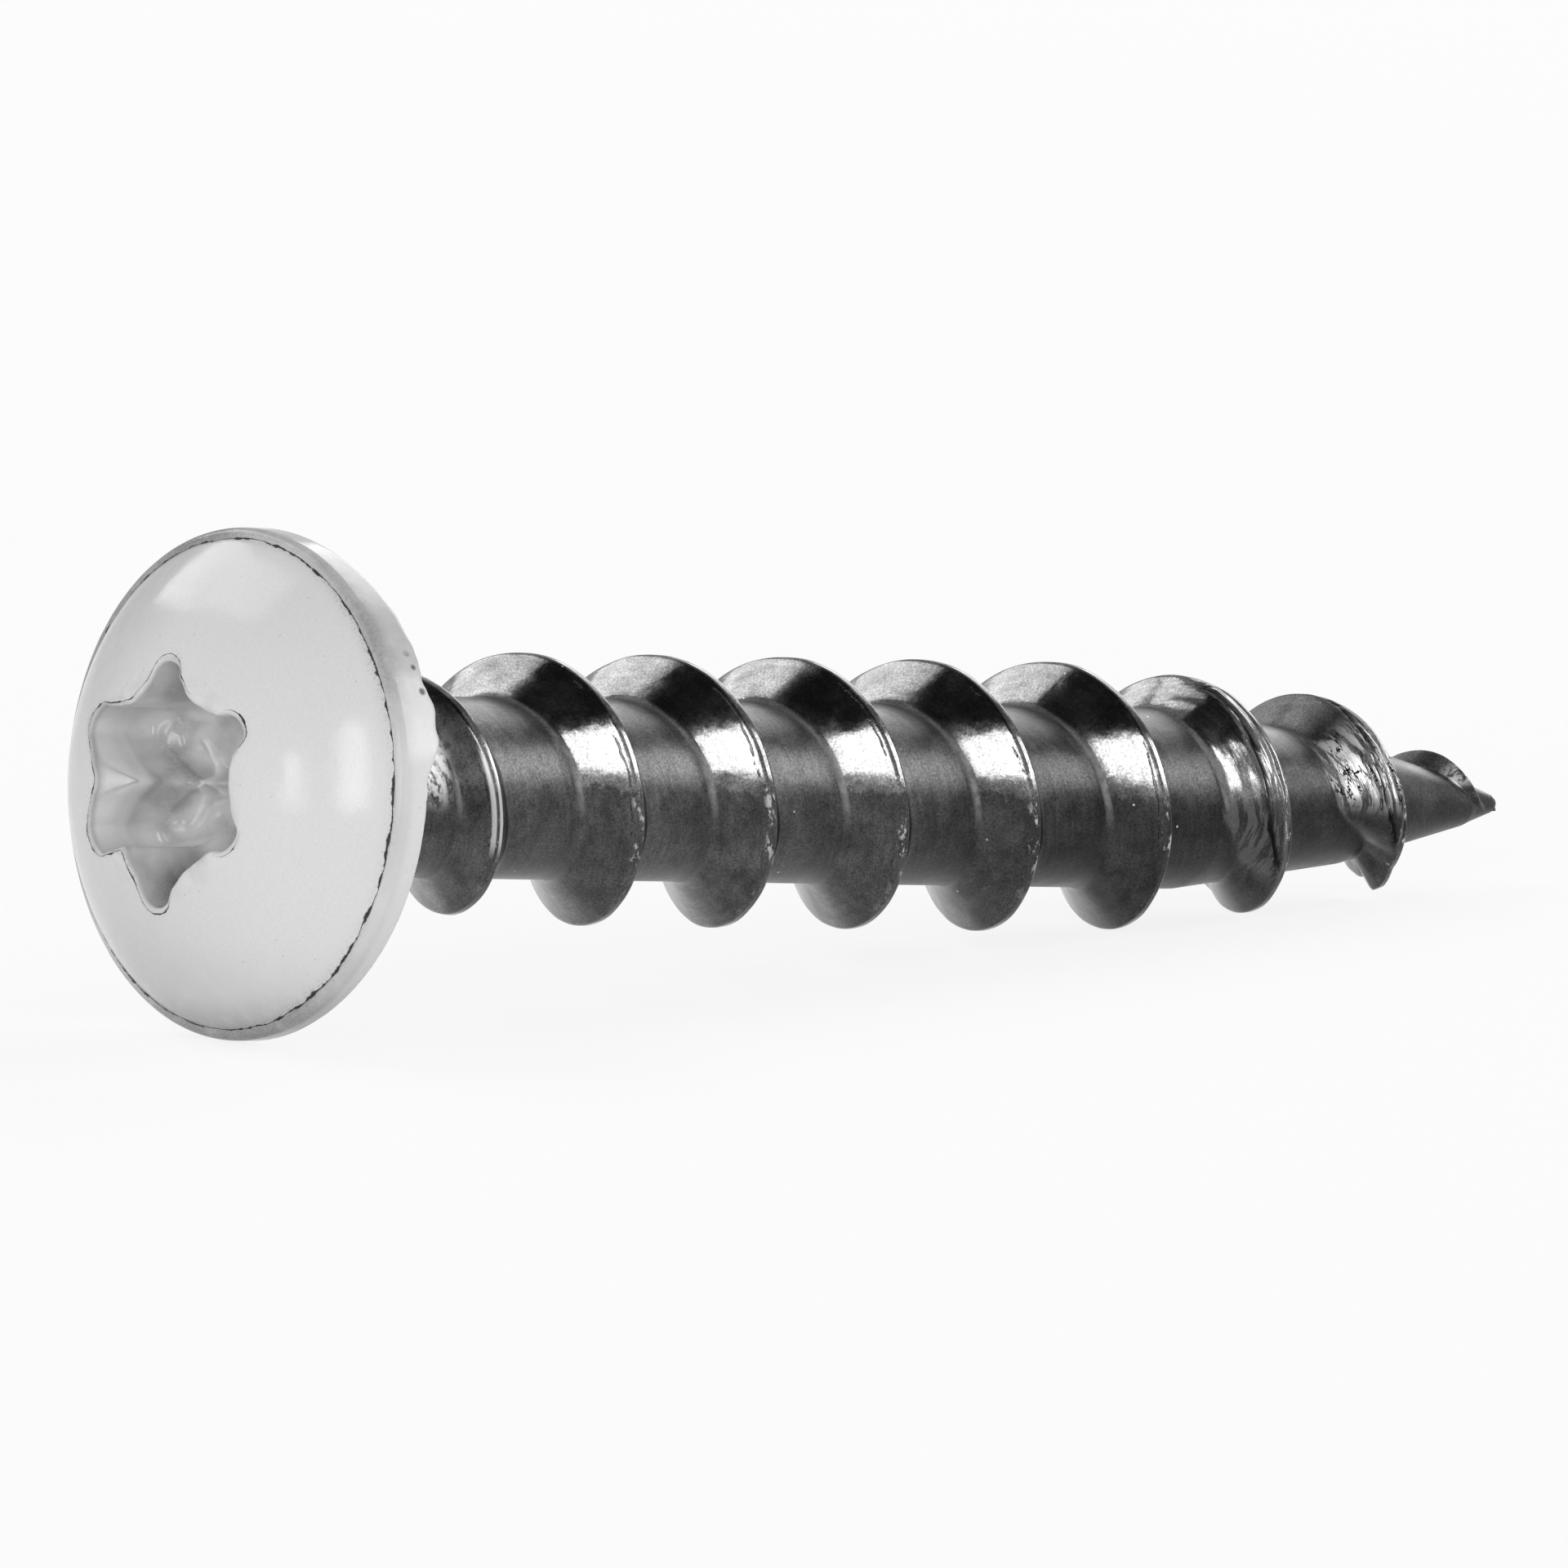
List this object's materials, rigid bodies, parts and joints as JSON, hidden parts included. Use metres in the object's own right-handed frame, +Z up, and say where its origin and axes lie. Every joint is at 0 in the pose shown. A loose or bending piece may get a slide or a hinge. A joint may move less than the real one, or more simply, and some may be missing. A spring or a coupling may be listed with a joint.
{
  "type": "sheet metal screw",
  "caption": "Self-tapping screw with a white coated pan head, a six-lobe socket, a coarse right-hand thread and a tapered point.",
  "frame": {"origin": "on the ground, under the middle of the lying screw", "axes": "+X from the head to the point, which dips towards the ground; +Z up"},
  "size_m": [0.028, 0.008, 0.008],
  "materials": {
    "steel": "dark plated steel, satin, with rolling marks and worn crests",
    "white_coat": "thick glossy white coat on the head, cracked along the crease and chipped under the head"
  },
  "bodies": {
    "root": {"screw": "steel"}
  },
  "joints": []
}
